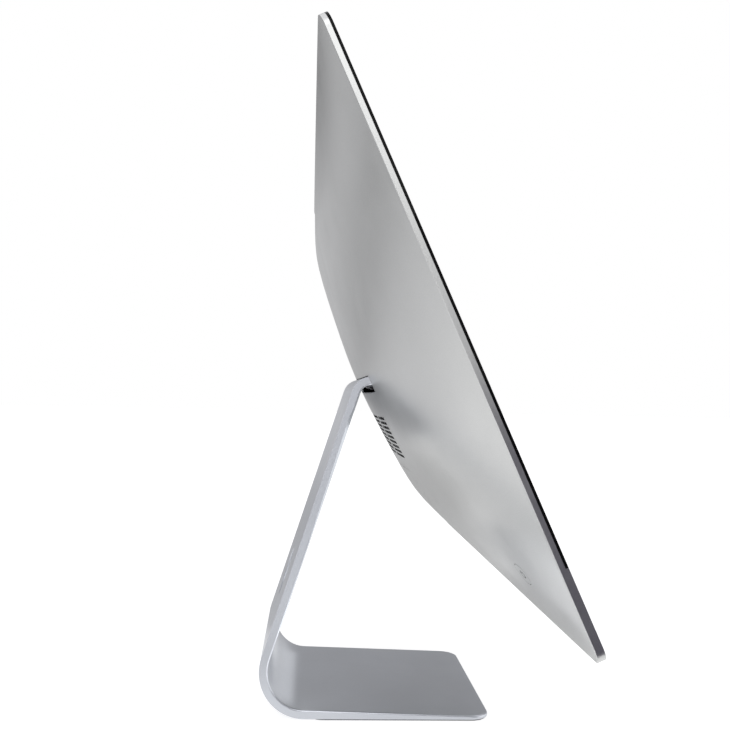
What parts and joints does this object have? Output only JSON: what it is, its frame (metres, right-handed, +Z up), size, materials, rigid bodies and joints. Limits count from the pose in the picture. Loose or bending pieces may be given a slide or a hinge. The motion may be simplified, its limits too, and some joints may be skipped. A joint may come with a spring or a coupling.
{
  "type": "all in one desktop computer",
  "caption": "Slim all in one desktop computer: a domed aluminium display housing with a glass front on a bent plate stand, with tilt hinge, buttons, sockets, fan and memory door.",
  "frame": {"origin": "middle of the footprint of the stand, on the desk", "axes": "+X to the user's right, -Y towards the user, whom the screen faces, +Z up"},
  "size_m": [0.65, 0.2322, 0.5318],
  "materials": {
    "anodised_aluminium": "fine bead-blasted satin",
    "stand_aluminium": "fine bead-blasted satin",
    "foot_pad": "matte",
    "screen_glass": "polished black",
    "tape": "matte",
    "display_cell": "gloss",
    "hinge_steel": "satin",
    "socket_metal": "satin",
    "black_plastic": "fine texture",
    "board": "solder mask",
    "copper": "satin",
    "fin_aluminium": "plain",
    "drive_metal": "cast",
    "screw_steel": "satin"
  },
  "bodies": {
    "stand": {"stand_plate": "stand_aluminium", "foot_pad": "foot_pad", "hinge_shaft": "hinge_steel", "friction_washers_left": "hinge_steel", "friction_washers_right": "hinge_steel", "hinge_nuts": "hinge_steel"},
    "display": {"adhesive_tape": "tape", "antenna_left": "black_plastic", "antenna_right": "black_plastic", "backlight": "display_cell", "board_screws": "screw_steel", "camera_module": "black_plastic", "card_slot": "socket_metal", "cover_glass": "screen_glass", "cpu_heatsink": "fin_aluminium", "data_port_1": "socket_metal", "data_port_2": "socket_metal", "display_cable": "black_plastic", "drive_bracket_left": "hinge_steel", "drive_bracket_right": "hinge_steel", "exhaust_fins": "fin_aluminium", "fan_housing": "black_plastic", "frame_screws": "screw_steel", "hard_drive": "drive_metal", "headphone_jack": "black_plastic", "heat_pipe": "copper", "hinge_bracket_left": "hinge_steel", "hinge_bracket_right": "hinge_steel", "hinge_frame": "hinge_steel", "inner_power_cable": "black_plastic", "lcd_panel": "display_cell", "logic_board": "board", "memory_cage": "black_plastic", "memory_module_lower": "board", "memory_module_upper": "board", "microphone": "black_plastic", "network_port": "socket_metal", "power_inlet": "black_plastic", "power_supply": "black_plastic", "power_switch": "board", "rear_housing": "anodised_aluminium", "speaker_left": "black_plastic", "speaker_right": "black_plastic", "usb_port_1": "socket_metal", "usb_port_2": "socket_metal", "usb_port_3": "socket_metal", "usb_port_4": "socket_metal", "wireless_card": "board"},
    "power_button": {"power_button": "anodised_aluminium"},
    "door_release": {"door_release": "black_plastic"},
    "memory_door": {"memory_door": "anodised_aluminium"},
    "fan_rotor": {"fan_rotor": "black_plastic"}
  },
  "joints": [
    {"name": "display_tilt", "type": "hinge", "parent": "stand", "child": "display", "pos_m": [0, -0.0025, 0.2957], "axis": [1, 0, 0], "range_deg": [-0.7, 29.3]},
    {"name": "power_button_press", "type": "slide", "parent": "display", "child": "power_button", "axis": [0, -0.9114, 0.4115], "range_m": [0, 0.001], "stiffness_N_per_m": 800, "springref_m": -0.0003},
    {"name": "door_release_press", "type": "slide", "parent": "display", "child": "door_release", "axis": [0, -0.9114, 0.4115], "range_m": [0, 0.0015], "stiffness_N_per_m": 600, "springref_m": -0.0003},
    {"name": "memory_door_lift", "type": "slide", "parent": "display", "child": "memory_door", "axis": [0, 0.9114, -0.4115], "range_m": [0, 0.025]},
    {"name": "fan_spin", "type": "hinge", "parent": "display", "child": "fan_rotor", "pos_m": [-0.116, -0.04893, 0.24388], "axis": [0, 0.9114, -0.4115], "continuous": true}
  ]
}
